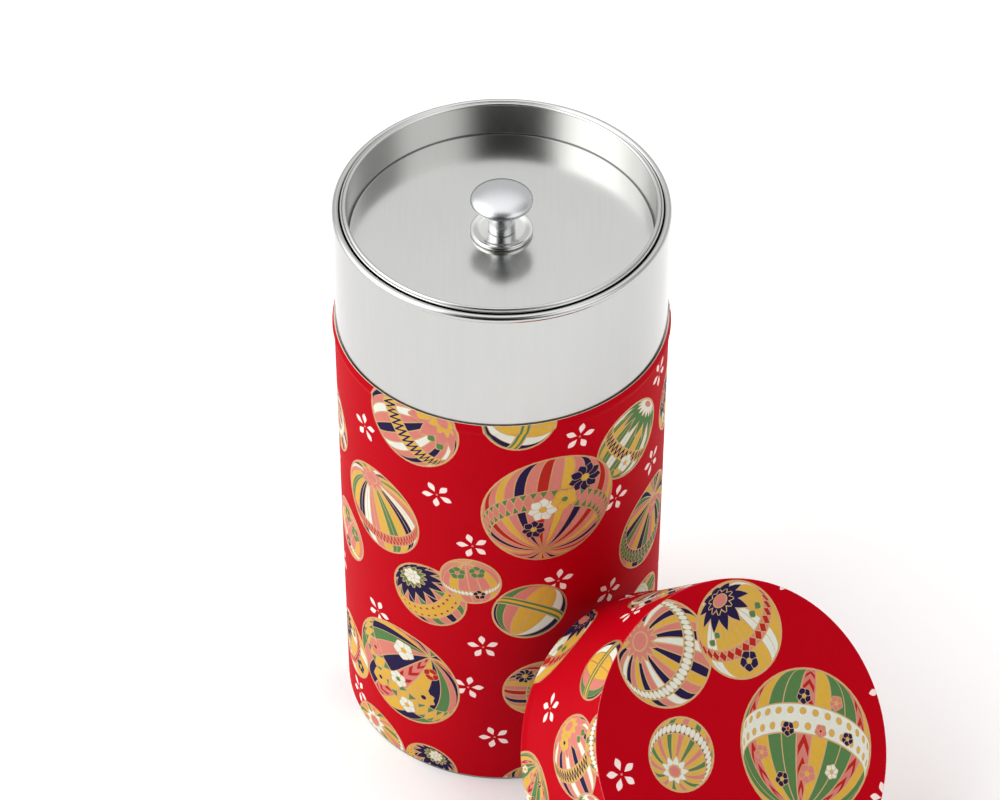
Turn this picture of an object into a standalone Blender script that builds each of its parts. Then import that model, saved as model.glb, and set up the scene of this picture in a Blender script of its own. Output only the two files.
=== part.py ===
"""Tea caddy: a paper-wrapped tin can with a bare neck, a recessed inner lid with a knob,
and a paper-wrapped outer cap that has been taken off and leans against the can.

Metres, +Z up. The origin is the middle of the can's flat base, on the table.
Every round piece is a closed outline (radius, height) turned about its own axis.
"""

import math

import bmesh
import bpy
from mathutils import Matrix, Vector

MM = 0.001

# Smoothness. Nested tins share one segment count, so the thin gaps between them stay even.
CAN_SEGMENTS = 64
KNOB_SEGMENTS = 32
SMOOTH_ANGLE = math.radians(35)

# Can: heights above the table, then radii.
SHOULDER_Z = 126.2 * MM
RIM_Z = 159.4 * MM
NECK_RADIUS = 39.85 * MM
NECK_WALL = 0.25 * MM
NECK_BOTTOM_Z = 99.0 * MM
CURL_RADIUS = 0.8 * MM
CURL_STEPS = 8
TIN_WALL = 0.20 * MM
FIT_GAP = 0.05 * MM
SEAT_GAP = 0.10 * MM
PAPER = 0.16 * MM
BASE_PLATE = 0.30 * MM
BASE_SEAM_HEIGHT = 0.75 * MM
BASE_SEAM_WIDTH = 1.3 * MM
BEAD_BULGE = 0.45 * MM
BEAD_HEIGHT = 3.6 * MM
BEAD_STEPS = 6

# Inner lid: a shallow pan hanging in the neck by its rolled rim.
DISC_Z = 150.9 * MM
DISC_RADIUS = 36.2 * MM
LID_SHEET = 0.30 * MM
LID_CORNER = 0.5 * MM
LID_RIM_RADIUS = 37.75 * MM
LID_RIM_TUBE = 0.5 * MM
LID_RIM_RISE = 0.15 * MM
LID_HOLE = 2.15 * MM

# Knob and its dished collar.
COLLAR_RADIUS = 7.4 * MM
COLLAR_HEIGHT = 1.15 * MM
COLLAR_FLOOR = 0.75 * MM
STEM_RADIUS = 3.2 * MM
TAIL_RADIUS = 2.0 * MM
RIVET_RADIUS = 3.6 * MM
RIVET_HEIGHT = 0.9 * MM
HEAD_RADIUS = 7.4 * MM
HEAD_Z = 160.6 * MM
DOME_RISE = 2.3 * MM
DOME_STEPS = 7

# Cap: sizes along its own axis, which starts at the open rim.
CAP_CLEARANCE = 0.10 * MM
CAP_HEIGHT = 38.2 * MM
CAP_TOP_SHEET = 0.30 * MM
CAP_TOP_LAP = 0.9 * MM

# Where the cap leans: its axis points up and away from the can.
CAP_TILT = math.radians(45)
CAP_HEADING = math.radians(-49.6)
CAP_SEAT_DIRECTION = math.radians(-54.5)
CAP_SEAT_DISTANCE = 69.4 * MM

# Radii that follow from the ones above.
TIN_INNER = NECK_RADIUS + FIT_GAP
TIN_OUTER = TIN_INNER + TIN_WALL
PAPER_INNER = TIN_OUTER + FIT_GAP
PAPER_OUTER = PAPER_INNER + PAPER
CAP_INNER = NECK_RADIUS + CAP_CLEARANCE
CAP_OUTER = CAP_INNER + TIN_WALL
CAP_PAPER_INNER = CAP_OUTER + FIT_GAP
CAP_PAPER_OUTER = CAP_PAPER_INNER + PAPER


def clear_scene():
    for obj in list(bpy.data.objects):
        bpy.data.objects.remove(obj, do_unlink=True)


def make_material(name, colour, roughness, metallic):
    material = bpy.data.materials.new(name)
    material.use_nodes = True
    shader = material.node_tree.nodes["Principled BSDF"]
    shader.inputs["Base Color"].default_value = (*colour, 1.0)
    shader.inputs["Roughness"].default_value = roughness
    shader.inputs["Metallic"].default_value = metallic
    return material


def arc(centre, radius, start_deg, end_deg, steps):
    """Points on an arc in the (radius, height) plane, both ends included."""
    points = []
    for step in range(steps + 1):
        angle = math.radians(start_deg + (end_deg - start_deg) * step / steps)
        points.append((centre[0] + radius * math.cos(angle), centre[1] + radius * math.sin(angle)))
    return points


def bead_side(radius, edge, direction, skip=0):
    """A wall's outer side where it swells into a bead, from the edge along direction (+1 up, -1 down)."""
    points = []
    for step in range(skip, BEAD_STEPS + 1):
        along = step / BEAD_STEPS
        swell = BEAD_BULGE * math.sin(math.pi * along) ** 2
        points.append((radius + swell, edge + direction * BEAD_HEIGHT * along))
    return points


def turn_outline(name, outline, segments, material):
    """A closed solid from an outline that runs once round its section. Points on the axis close it."""
    mesh = bmesh.new()
    rings = []
    for radius, height in outline:
        if radius < 1e-9:
            rings.append([mesh.verts.new((0.0, 0.0, height))])
            continue
        ring = []
        for step in range(segments):
            angle = 2 * math.pi * step / segments
            ring.append(mesh.verts.new((radius * math.cos(angle), radius * math.sin(angle), height)))
        rings.append(ring)
    open_ended = len(rings[0]) == 1 and len(rings[-1]) == 1
    pairs = len(rings) - 1 if open_ended else len(rings)
    for index in range(pairs):
        join_rings(mesh, rings[index], rings[(index + 1) % len(rings)], segments)
    bmesh.ops.recalc_face_normals(mesh, faces=mesh.faces)
    data = bpy.data.meshes.new(name)
    mesh.to_mesh(data)
    mesh.free()
    data.shade_smooth()
    data.set_sharp_from_angle(angle=SMOOTH_ANGLE)
    data.materials.append(material)
    obj = bpy.data.objects.new(name, data)
    bpy.context.scene.collection.objects.link(obj)
    return obj


def join_rings(mesh, lower, upper, segments):
    """Faces between two rings, where a ring of one point is a pole."""
    for step in range(segments):
        following = (step + 1) % segments
        if len(lower) == 1:
            mesh.faces.new((lower[0], upper[following], upper[step]))
        elif len(upper) == 1:
            mesh.faces.new((lower[step], lower[following], upper[0]))
        else:
            mesh.faces.new((lower[step], lower[following], upper[following], upper[step]))


def build_base(material):
    """A pressed plate, flat underneath, whose edge is folded into a low seam round the can's foot."""
    seam_outer = TIN_OUTER
    seam_inner = seam_outer - BASE_SEAM_WIDTH
    corner = 0.15 * MM
    outline = [(0.0, 0.0)]
    outline += [(seam_outer - corner, 0.0), (seam_outer, corner)]
    outline += [(seam_outer, BASE_SEAM_HEIGHT - corner), (seam_outer - corner, BASE_SEAM_HEIGHT)]
    outline += [(seam_inner, BASE_SEAM_HEIGHT), (seam_inner - 2 * corner, BASE_PLATE), (0.0, BASE_PLATE)]
    return turn_outline("base_plate", outline, CAN_SEGMENTS, material)


def build_body_tin(material):
    """The outer tin: a tube that swells into a bead round its top edge."""
    bottom = BASE_SEAM_HEIGHT + SEAT_GAP
    top = SHOULDER_Z - PAPER - FIT_GAP
    outline = [(TIN_INNER, bottom), (TIN_OUTER, bottom)]
    outline += reversed(bead_side(TIN_OUTER, top, -1))
    outline += [(TIN_INNER, top)]
    return turn_outline("body_tin", outline, CAN_SEGMENTS, material)


def build_body_paper(material):
    """The paper round the body. It follows the bead and stops at the tin's upper edge."""
    bottom = BASE_SEAM_HEIGHT + SEAT_GAP
    top = SHOULDER_Z - PAPER - FIT_GAP
    outline = [(PAPER_INNER, bottom), (PAPER_OUTER, bottom)]
    outline += reversed(bead_side(PAPER_OUTER, top, -1))
    outline += bead_side(PAPER_INNER, top, -1)
    return turn_outline("body_paper", outline, CAN_SEGMENTS, material)


def build_neck(material):
    """The inner sleeve: pushed into the body, bare above it, with its top edge rolled inwards."""
    inner = NECK_RADIUS - NECK_WALL
    centre = (NECK_RADIUS - CURL_RADIUS, RIM_Z - CURL_RADIUS)
    outline = [(inner, NECK_BOTTOM_Z), (NECK_RADIUS, NECK_BOTTOM_Z)]
    outline += arc(centre, CURL_RADIUS, 0, 290, CURL_STEPS)
    outline += [(inner, centre[1] - 1.3 * CURL_RADIUS)]
    return turn_outline("neck_sleeve", outline, CAN_SEGMENTS, material)


def build_lid_pan(material):
    """The inner lid's pan: flat disc, steep wall, and a rolled rim that rests on the neck's curl."""
    rim = (LID_RIM_RADIUS, RIM_Z + LID_RIM_RISE)
    wall_top = LID_RIM_RADIUS - LID_RIM_TUBE
    outline = [(LID_HOLE, DISC_Z), (DISC_RADIUS - LID_CORNER, DISC_Z), (DISC_RADIUS, DISC_Z + LID_CORNER)]
    outline += [(wall_top, rim[1] - 0.2 * LID_RIM_TUBE)]
    outline += arc(rim, LID_RIM_TUBE, 165, -90, CURL_STEPS)
    outline += [(wall_top + LID_SHEET, rim[1] - 1.5 * LID_RIM_TUBE)]
    outline += [(DISC_RADIUS + LID_SHEET, DISC_Z + LID_CORNER), (DISC_RADIUS, DISC_Z - LID_SHEET)]
    outline += [(LID_HOLE, DISC_Z - LID_SHEET)]
    return turn_outline("lid_pan", outline, CAN_SEGMENTS, material)


def build_collar(material):
    """A dished washer under the knob, with a rounded raised edge."""
    low = DISC_Z + SEAT_GAP
    floor = low + COLLAR_FLOOR
    top = low + COLLAR_HEIGHT
    edge = 0.35 * MM
    outline = [(LID_HOLE, low), (COLLAR_RADIUS - edge, low), (COLLAR_RADIUS, low + edge)]
    outline += [(COLLAR_RADIUS, top - edge), (COLLAR_RADIUS - edge, top)]
    outline += [(COLLAR_RADIUS - 2.4 * edge, top - 0.3 * edge), (COLLAR_RADIUS - 5.5 * edge, floor)]
    outline += [(LID_HOLE, floor)]
    return turn_outline("knob_collar", outline, KNOB_SEGMENTS, material)


def build_knob(material):
    """The knob: domed head on a stem, with a thinner tail through collar and pan, riveted over below."""
    rivet_top = DISC_Z - LID_SHEET - SEAT_GAP
    stem_foot = DISC_Z + SEAT_GAP + COLLAR_FLOOR + SEAT_GAP
    fillet = 1.0 * MM
    under = HEAD_Z - 0.9 * MM
    outline = [(0.0, rivet_top - RIVET_HEIGHT), (RIVET_RADIUS - 0.3 * MM, rivet_top - RIVET_HEIGHT)]
    outline += [(RIVET_RADIUS, rivet_top - 0.3 * MM), (RIVET_RADIUS - 0.2 * MM, rivet_top)]
    outline += [(TAIL_RADIUS, rivet_top), (TAIL_RADIUS, stem_foot), (STEM_RADIUS, stem_foot)]
    outline += [(STEM_RADIUS, under - fillet), (STEM_RADIUS + 0.3 * fillet, under - 0.3 * fillet)]
    outline += [(STEM_RADIUS + fillet, under), (HEAD_RADIUS - 0.6 * MM, under + 0.25 * MM)]
    outline += [(HEAD_RADIUS, HEAD_Z)]
    for step in range(1, DOME_STEPS + 1):
        angle = math.pi / 2 * step / DOME_STEPS
        outline.append((HEAD_RADIUS * math.cos(angle), HEAD_Z + DOME_RISE * math.sin(angle)))
    outline[-1] = (0.0, HEAD_Z + DOME_RISE)
    return turn_outline("lid_knob", outline, KNOB_SEGMENTS, material)


def build_cap_skirt(material):
    """The cap's tin side. It swells into a bead round the open rim, as the body does at its shoulder."""
    top = CAP_HEIGHT - PAPER - FIT_GAP - CAP_TOP_SHEET - SEAT_GAP
    outline = [(CAP_INNER, 0.0)] + bead_side(CAP_OUTER, 0.0, 1)
    outline += [(CAP_OUTER, top), (CAP_INNER, top)]
    return turn_outline("cap_skirt", outline, CAN_SEGMENTS, material)


def build_cap_top(material):
    """The cap's tin end: a disc with a shallow turned-down rim inside the skirt."""
    top = CAP_HEIGHT - PAPER - FIT_GAP
    under = top - CAP_TOP_SHEET
    lap_outer = CAP_INNER - SEAT_GAP
    lap_inner = lap_outer - CAP_TOP_SHEET
    corner = 0.15 * MM
    outline = [(0.0, under), (lap_inner, under), (lap_inner, under - CAP_TOP_LAP)]
    outline += [(lap_outer, under - CAP_TOP_LAP), (lap_outer, under)]
    outline += [(CAP_OUTER, under), (CAP_OUTER, top - corner), (CAP_OUTER - corner, top), (0.0, top)]
    return turn_outline("cap_top", outline, CAN_SEGMENTS, material)


def build_cap_side_paper(material):
    """The paper band round the cap. It starts on the rim bead and ends under the top disc's paper."""
    top = CAP_HEIGHT - PAPER - FIT_GAP
    outline = bead_side(CAP_PAPER_OUTER, 0.0, 1, skip=1)
    outline += [(CAP_PAPER_OUTER, top), (CAP_PAPER_INNER, top)]
    outline += reversed(bead_side(CAP_PAPER_INNER, 0.0, 1, skip=1))
    return turn_outline("cap_side_paper", outline, CAN_SEGMENTS, material)


def build_cap_top_paper(material):
    """The paper disc on the cap's end, with a slightly softened edge."""
    low = CAP_HEIGHT - PAPER
    corner = 0.10 * MM
    outline = [(0.0, low), (CAP_PAPER_OUTER, low), (CAP_PAPER_OUTER, CAP_HEIGHT - corner)]
    outline += [(CAP_PAPER_OUTER - corner, CAP_HEIGHT), (0.0, CAP_HEIGHT)]
    return turn_outline("cap_top_paper", outline, CAN_SEGMENTS, material)


def cap_axis():
    """The direction from the cap's open rim to its closed end."""
    flat = math.cos(CAP_TILT)
    return Vector((flat * math.cos(CAP_HEADING), flat * math.sin(CAP_HEADING), math.sin(CAP_TILT)))


def place_cap(pieces):
    """Stands the cap on its rim's lowest point, with its rim leaning on the can."""
    axis = cap_axis()
    side = Vector((-math.sin(CAP_HEADING), math.cos(CAP_HEADING), 0.0))
    up = axis.cross(side)
    rim_height = CAP_OUTER * math.cos(CAP_TILT)
    centre = Vector(
        (
            CAP_SEAT_DISTANCE * math.cos(CAP_SEAT_DIRECTION),
            CAP_SEAT_DISTANCE * math.sin(CAP_SEAT_DIRECTION),
            rim_height,
        )
    )
    holder = bpy.data.objects.new("cap_frame", None)
    bpy.context.scene.collection.objects.link(holder)
    turn = Matrix((side, up, axis)).transposed().to_4x4()
    holder.matrix_world = Matrix.Translation(centre) @ turn
    for piece in pieces:
        piece.parent = holder


def main():
    clear_scene()
    tinplate = make_material("tinplate", (0.78, 0.78, 0.76), 0.28, 1.0)
    satin_tin = make_material("satin_tin", (0.70, 0.70, 0.69), 0.35, 1.0)
    aluminium = make_material("aluminium", (0.80, 0.81, 0.83), 0.38, 1.0)
    paper = make_material("printed_paper", (0.50, 0.005, 0.02), 0.60, 0.0)
    build_base(tinplate)
    build_body_tin(tinplate)
    build_body_paper(paper)
    build_neck(tinplate)
    build_lid_pan(satin_tin)
    build_collar(tinplate)
    build_knob(aluminium)
    place_cap(
        [
            build_cap_skirt(tinplate),
            build_cap_top(tinplate),
            build_cap_side_paper(paper),
            build_cap_top_paper(paper),
        ]
    )


main()
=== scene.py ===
import math
from functools import partialmethod

import bmesh
import bpy
import numpy as np
from mathutils import Matrix, Vector, geometry


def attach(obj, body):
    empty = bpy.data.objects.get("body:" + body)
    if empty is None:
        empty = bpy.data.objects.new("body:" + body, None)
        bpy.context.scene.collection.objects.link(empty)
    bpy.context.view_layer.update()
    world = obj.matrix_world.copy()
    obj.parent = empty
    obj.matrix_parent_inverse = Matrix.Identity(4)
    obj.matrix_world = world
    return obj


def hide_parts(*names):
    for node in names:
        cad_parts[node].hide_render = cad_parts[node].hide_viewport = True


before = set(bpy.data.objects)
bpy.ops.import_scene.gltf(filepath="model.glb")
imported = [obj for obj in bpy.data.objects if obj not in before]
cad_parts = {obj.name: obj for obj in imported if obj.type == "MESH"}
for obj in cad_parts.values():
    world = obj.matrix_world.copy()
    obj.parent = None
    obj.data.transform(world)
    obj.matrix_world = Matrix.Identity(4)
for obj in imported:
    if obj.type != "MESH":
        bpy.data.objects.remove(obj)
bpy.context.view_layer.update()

MM = 0.001

# Camera: looks along +Y, down onto the can, through a long lens.
CAMERA_TARGET = Vector((-0.4 * MM, 0.0, 96.1 * MM))
CAMERA_ELEVATION = math.radians(43.64)
CAMERA_DISTANCE = 0.874
CAMERA_LENS = 127.9

FLOOR_REACH = 3.0
FLOOR_GLOW = 0.09

# Round pieces are outlines (radius, height) turned about their axis, as in the CAD.
SEGMENTS = 192
KNOB_SEGMENTS = 96
SMOOTH_ANGLE = math.radians(32)
ON_AXIS = 1e-7

# Tins and paper, as in the CAD, but for the neck: its rolled bead is fuller, with a step under it.
NECK_WALL = 0.25 * MM
CURL_RADIUS = 0.97 * MM
CURL_END = 290
CURL_STEPS = 28
NECK_STEP = 0.22 * MM
TIN_WALL = 0.20 * MM
SEAT_GAP = 0.10 * MM
PAPER = 0.16 * MM
BASE_PLATE = 0.30 * MM
BASE_SEAM_WIDTH = 1.3 * MM
BASE_SEAM_SLOPE = 0.3 * MM
BASE_ROUND = 0.2 * MM
BEAD_BULGE = 0.45 * MM
BEAD_HEIGHT = 3.6 * MM
BEAD_STEPS = 12
CAP_TOP_SHEET = 0.30 * MM
CAP_TOP_LAP = 0.9 * MM
CAP_TOP_BEVEL = 0.15 * MM

# Where the cap leans, and the side of it that its paper band is centred on, in degrees.
CAP_TILT = math.radians(45)
CAP_HEADING = math.radians(-49.6)
CAP_SEAT_DIRECTION = math.radians(-54.5)
CAP_SEAT_DISTANCE = 69.4 * MM
CAP_RIM_RADIUS = 40.15 * MM
CAP_SHEET_MIDDLE = 120

# Inner lid: a pan with a steep wall, a round inner lip and a thin hem. Its pressed crease carries painted
# shade.
LID_SHEET = 0.30 * MM
LID_CORNER = 0.5 * MM
LID_DISC_RADIUS = 36.2 * MM
LID_WALL_LEAN = 0.22 * MM
LID_LIP = 0.45 * MM
LID_LIP_DROP = 0.15 * MM
LID_HEM = 0.22 * MM
LID_HEM_DROP = 0.45 * MM
LID_HOLE = 2.15 * MM
SUPPORT_RING = 0.2 * MM
# The pan crease's painted shade: the band's width, its inset from the corner, and the share of colour left
# in it.
CREASE_WIDTH = 0.36 * MM
CREASE_INSET = 0.15 * MM
CREASE_SHADE = 0.16

# Collar and knob.
COLLAR_FLOOR = 0.75 * MM
COLLAR_LIP = 0.7 * MM
COLLAR_DISH = 1.9 * MM
COLLAR_ROUND = 0.4 * MM
STEM_RADIUS = 3.2 * MM
STEM_BEVEL = 0.15 * MM
STEM_FILLET = 1.0 * MM
TAIL_RADIUS = 2.0 * MM
RIVET_RADIUS = 3.6 * MM
RIVET_HEIGHT = 0.9 * MM
RIVET_ROUND = 0.3 * MM
RIVET_SLOPE = 0.2 * MM
HEAD_EDGE = 0.9 * MM
DOME_RISE = 2.3 * MM
DOME_STEPS = 20

# Print: sizes on the flat sheet, in millimetres.
BALL_EDGE = 0.5
BALL_STEPS = 36
LARGE_BALL = 11
LARGE_BALL_STEPS = 48
THREAD = 0.34
MERGE = 0.002
SAME_PLACE = 0.02
SMALLEST_SHAPE = 0.01
SEAM_GAP = 0.12
WRAP_STEPS = 128
DISC_STEPS = 192
DISC_CORNER = 0.12 * MM
PETAL_STEPS = 8
PETAL_START = 0.93
PETAL_END = 4.05
PETAL_WIDTH = 1.68
BLOSSOM_DOT = 0.33

# Print inside the balls, as shares of a gore or an angle in radians.
GORE_PHASE = 0.013
POLE_HEART = 0.17
MARK_PITCH = 3.2
MARK_SLANT = 1.5
MARK_SHARE = 0.42
MARK_WIDTH = 0.38
NUDGE = 0.001

GROUND = "ground"
GOLD = "gold"
NAVY = "navy"
PINK = "pink"
OCHRE = "ochre"
GREEN = "green"
WHITE = "white"
RED = "red"
BLOSSOM = "blossom"
CORE = "core"
EDGE_WEAR_AND_SHEEN = "crease"
BACKING = "backing"
BALL_INKS = [NAVY, PINK, OCHRE, GREEN, WHITE, RED, GOLD]
INK_BASE = 8


def linear(red, green, blue):
    """A display colour, 0 to 255, as the shader's own."""
    shades = []
    for shade in (red, green, blue):
        share = shade / 255
        shades.append(share / 12.92 if share < 0.04045 else ((share + 0.055) / 1.055) ** 2.4)
    return tuple(shades)


INKS = {
    GROUND: linear(184, 0, 20),
    GOLD: linear(200, 162, 116),
    NAVY: linear(38, 30, 66),
    PINK: linear(208, 124, 112),
    OCHRE: linear(214, 168, 66),
    GREEN: linear(86, 124, 74),
    WHITE: linear(222, 222, 208),
    RED: linear(178, 40, 34),
    BLOSSOM: linear(250, 226, 220),
    CORE: linear(238, 216, 196),
    # Lighter pink on the end paper's rounded edge: partly its worn core, partly a painted highlight.
    EDGE_WEAR_AND_SHEEN: linear(214, 60, 74),
    BACKING: linear(236, 230, 218),
}

# Motifs for the thread balls. gores: how many, and their inks in turn. pole: its lean to the viewer, in
# degrees. belt: latitude, half height, kind, marks on half of it, ground and mark inks. star: petals
# round the poles, their reach in degrees, inks of long and short ones. marks: 1 for V-shaped marks up
# some gores, -1 for a thread up each. sprigs: flowers on top: x, y, size, petals, ink and heart.
LOZENGES, BEADS, ZIGZAG, STRIPES, DOTS = 1, 2, 3, 4, 5
MOTIFS = {
    "melon": {"gores": (14, [WHITE, OCHRE, OCHRE, PINK, GREEN, NAVY]), "pole": 12,
        "belt": (0, 8, STRIPES, 8, GREEN, OCHRE)},
    "aster": {"gores": (26, [GREEN, PINK, NAVY, PINK]), "pole": 46, "star": (13, 56, NAVY, GREEN),
        "belt": (14, 16, DOTS, 9, OCHRE, RED), "sprigs": [(0.0, 0.62, 0.25, 8, WHITE, WHITE)]},
    "fan": {"gores": (34, [PINK, NAVY, PINK, OCHRE, PINK, RED]), "pole": 36,
        "belt": (24, 10, LOZENGES, 12, GREEN, PINK),
        "sprigs": [(-0.45, -0.5, 0.26, 9, NAVY, OCHRE), (0.12, 0.0, 0.22, 7, WHITE, OCHRE),
        (-0.18, -0.16, 0.2, 5, OCHRE, GREEN), (0.2, 0.38, 0.17, 7, NAVY, OCHRE)]},
    "reed": {"gores": (24, [OCHRE, GREEN, OCHRE, NAVY, WHITE, PINK]), "pole": 42, "marks": -1,
        "belt": (-4, 10, ZIGZAG, 20, PINK, RED), "star": (10, 22, PINK, OCHRE)},
    "lily": {"gores": (26, [WHITE, PINK, NAVY, PINK]), "pole": 34, "star": (9, 50, PINK, OCHRE),
        "belt": (14, 10, ZIGZAG, 14, OCHRE, NAVY),
        "sprigs": [(-0.3, 0.5, 0.2, 5, OCHRE, NAVY), (0.45, 0.35, 0.2, 2, GREEN, None)]},
    "fern": {"gores": (22, [GREEN, WHITE, GREEN, OCHRE]), "pole": 22, "star": (14, 62, GREEN, WHITE),
        "marks": -1, "belt": (0, 9, ZIGZAG, 11, OCHRE, NAVY),
        "sprigs": [(0.35, -0.5, 0.22, 5, WHITE, OCHRE)]},
    "plait": {"gores": (30, [NAVY, PINK, WHITE, NAVY, PINK, OCHRE]), "pole": 54,
        "belt": (24, 8, BEADS, 16, GREEN, WHITE), "star": (14, 24, PINK, RED)},
    "daisy": {"gores": (16, [OCHRE, WHITE, OCHRE, OCHRE]), "pole": 41, "star": (11, 42, NAVY, NAVY),
        "belt": (18, 8, LOZENGES, 9, PINK, RED), "marks": -1,
        "sprigs": [(0.55, 0.1, 0.18, 2, GREEN, None), (-0.2, -0.62, 0.22, 5, NAVY, OCHRE),
        (-0.58, 0.18, 0.16, 2, GREEN, None)]},
    "pearl": {"gores": (28, [OCHRE, PINK, OCHRE, GREEN]), "pole": 58, "star": (9, 26, WHITE, WHITE),
        "belt": (14, 12, BEADS, 12, NAVY, WHITE)},
    "arrow": {"gores": (24, [PINK, GREEN, GREEN, OCHRE]), "pole": 26, "marks": 1,
        "belt": (6, 12, DOTS, 10, WHITE, OCHRE),
        "sprigs": [(-0.05, 0.38, 0.13, 5, PINK, OCHRE), (0.32, 0.5, 0.1, 5, NAVY, OCHRE),
        (-0.42, 0.3, 0.1, 6, WHITE, OCHRE), (0.3, -0.16, 0.1, 5, NAVY, RED),
        (-0.2, -0.2, 0.09, 5, PINK, RED), (-0.62, -0.16, 0.09, 5, NAVY, OCHRE),
        (0.1, -0.62, 0.11, 5, NAVY, OCHRE), (-0.4, -0.6, 0.1, 5, PINK, OCHRE),
        (0.66, 0.2, 0.1, 5, PINK, OCHRE)]},
    "meadow": {"gores": (18, [PINK, OCHRE, NAVY, GREEN, PINK, NAVY]), "pole": 30, "marks": 1,
        "belt": (4, 12, LOZENGES, 9, GREEN, OCHRE),
        "sprigs": [(-0.3, 0.45, 0.2, 5, WHITE, OCHRE), (0.25, 0.55, 0.13, 4, RED, OCHRE),
        (0.5, 0.0, 0.2, 8, OCHRE, NAVY), (-0.55, -0.25, 0.17, 5, PINK, RED),
        (0.05, -0.2, 0.17, 6, WHITE, GREEN), (-0.1, -0.65, 0.17, 5, OCHRE, NAVY),
        (0.48, -0.48, 0.16, 5, WHITE, OCHRE)]},
    "petal": {"gores": (16, [PINK, PINK, OCHRE, PINK]), "pole": 30,
        "belt": (-6, 7, BEADS, 14, GREEN, WHITE),
        "sprigs": [(-0.35, 0.35, 0.28, 5, GREEN, PINK), (0.3, 0.4, 0.27, 5, GREEN, PINK),
        (0.2, -0.6, 0.2, 5, NAVY, OCHRE)]},
    "wave": {"gores": (24, [GREEN, PINK, OCHRE, NAVY]), "pole": 60,
        "belt": (10, 13, LOZENGES, 14, NAVY, GREEN),
        "sprigs": [(0.1, 0.3, 0.22, 6, PINK, OCHRE)]},
}

# Where the balls lie: angle from the front in degrees or place on the disc, height, radius, turn, motif.
BODY_BALLS = [
    (-32, 120.5, 12.5, -60, "lily"), (6, 127, 9, 75, "melon"), (49.5, 108, 11, -50, "fern"),
    (64, 72, 13, -20, "wave"), (-48, 85.5, 13, 15, "reed"), (-81, 97, 9, 40, "plait"),
    (-70, 65, 8.5, -30, "petal"), (-26.5, 64.5, 10.2, 45, "aster"), (-11, 73, 7.8, 10, "petal"),
    (10, 62.5, 9.5, 150, "melon"), (17, 97, 17, 172, "fan"), (-38.5, 31, 16.5, -38, "meadow"),
    (-71, 22, 9.5, 70, "daisy"), (14, 34, 9.7, -100, "fan"), (-52, -1, 10.2, 20, "pearl"),
    (-27, 0.5, 7.6, -20, "aster"), (13, -5.5, 11, 60, "plait"), (60, 41, 11, 100, "arrow"),
    (42, 14, 12, 30, "lily"), (85, 103, 10, 60, "daisy"), (92, 20, 14, -80, "arrow"),
    (97, 62, 9, 150, "melon"), (104, 125, 9, 20, "fern"), (112, 86, 14, 110, "plait"),
    (120, 42, 8, 0, "aster"), (127, 8, 12, 60, "reed"), (136, 112, 12, -130, "meadow"),
    (139, 66, 10, 35, "fan"), (148, 30, 14, 100, "daisy"), (159, 92, 11, 200, "wave"),
    (164, 58, 8, 0, "petal"), (165, 124, 8, 45, "melon"), (-164, 105, 12, 150, "arrow"),
    (-161, 15, 11, 30, "lily"), (-160, 66, 14, 20, "aster"), (-143, 38, 8, 80, "melon"),
    (-138, 119, 9, -45, "pearl"), (-136, 88, 9, 100, "fan"), (-128, 7, 12, 130, "plait"),
    (-122, 60, 12, -20, "reed"), (-113, 104, 13, 60, "meadow"), (-101, 33, 10, 10, "wave"),
    (-97, 1, 8, 90, "petal"),
]
BODY_BLOSSOMS = [
    (-54, 110, 20), (-22.5, 100.5, 50), (27, 118.5, 5), (65, 92, 30), (43, 91.5, 70), (-10, 85.5, 35),
    (20, 71.5, 10), (41, 60, 60), (-6.5, 50, 25), (-12, 34.5, 80), (-2.5, 16.5, 40), (-66, 8, 65),
    (69, 119, 45), (33, 44, 20), (-87, 80, 30), (-50, 48, 0), (72, 4, 40), (87, 42, 10), (90, 82, 55),
    (106, 42, 20), (112, 108, 70), (118, 60, 35), (108, 3, 0), (128, 28, 50), (127, 92, 15),
    (150, 118, 60), (148, 52, 30), (158, 75, 5), (171, 40, 45), (168, 8, 20), (-171, 86, 65),
    (-172, 34, 10), (-150, 86, 40), (-150, 122, 25), (-145, 20, 70), (-140, 70, 5), (-124, 34, 50),
    (-122, 84, 20), (-112, 18, 60), (-104, 68, 35), (-95, 116, 10), (-83, 46, 55),
]
CAP_TOP_BALLS = [
    (-7.5, 29.5, 13, 38, "plait"), (13.5, 24.5, 12, 7, "daisy"), (-16, 7, 9, 124, "pearl"),
    (15.5, -8, 18.5, 142, "arrow"), (-14, -21, 12.5, -40, "fan"), (6, -36, 8, 60, "melon"),
    (-37, -8, 9, 15, "aster"),
]
CAP_TOP_BLOSSOMS = [
    (-32.5, 11, 10), (32.5, 28.5, 55), (41.5, -7.5, 20), (0, -16, 30), (28, -30, 0), (-27, -26, 45),
]
CAP_SIDE_BALLS = [
    (107.5, -1, 13, 60, "daisy"), (123, 33, 8.2, -20, "melon"), (153.5, 27.5, 10.5, 110, "lily"),
    (162, 3, 9, 40, "arrow"), (150, 41, 8, 0, "pearl"), (78, 26, 11, 150, "plait"),
    (50, 8, 10, 30, "reed"), (27, 30, 12, -60, "aster"), (3, 9, 9, 90, "fan"),
    (-18, 30, 8, 10, "melon"), (-42, 10, 13, 40, "meadow"), (178, 30, 9, 75, "fern"),
    (-159, 8, 11, -30, "wave"), (-138, 32, 10, 100, "daisy"), (-115, 12, 9, 20, "pearl"),
    (-90, 28, 11, 60, "fan"),
]
CAP_SIDE_BLOSSOMS = [
    (96.5, 28, 10), (135.5, 13.5, 35), (62, 30, 60), (26, 8, 20), (-2, 27, 45), (-22, 8, 0),
    (-40, 34, 30), (-175, 12, 55), (-150, 26, 15), (-126, 18, 40), (-103, 35, 5), (76, 6, 50),
    (-70, 10, 25),
]


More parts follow.
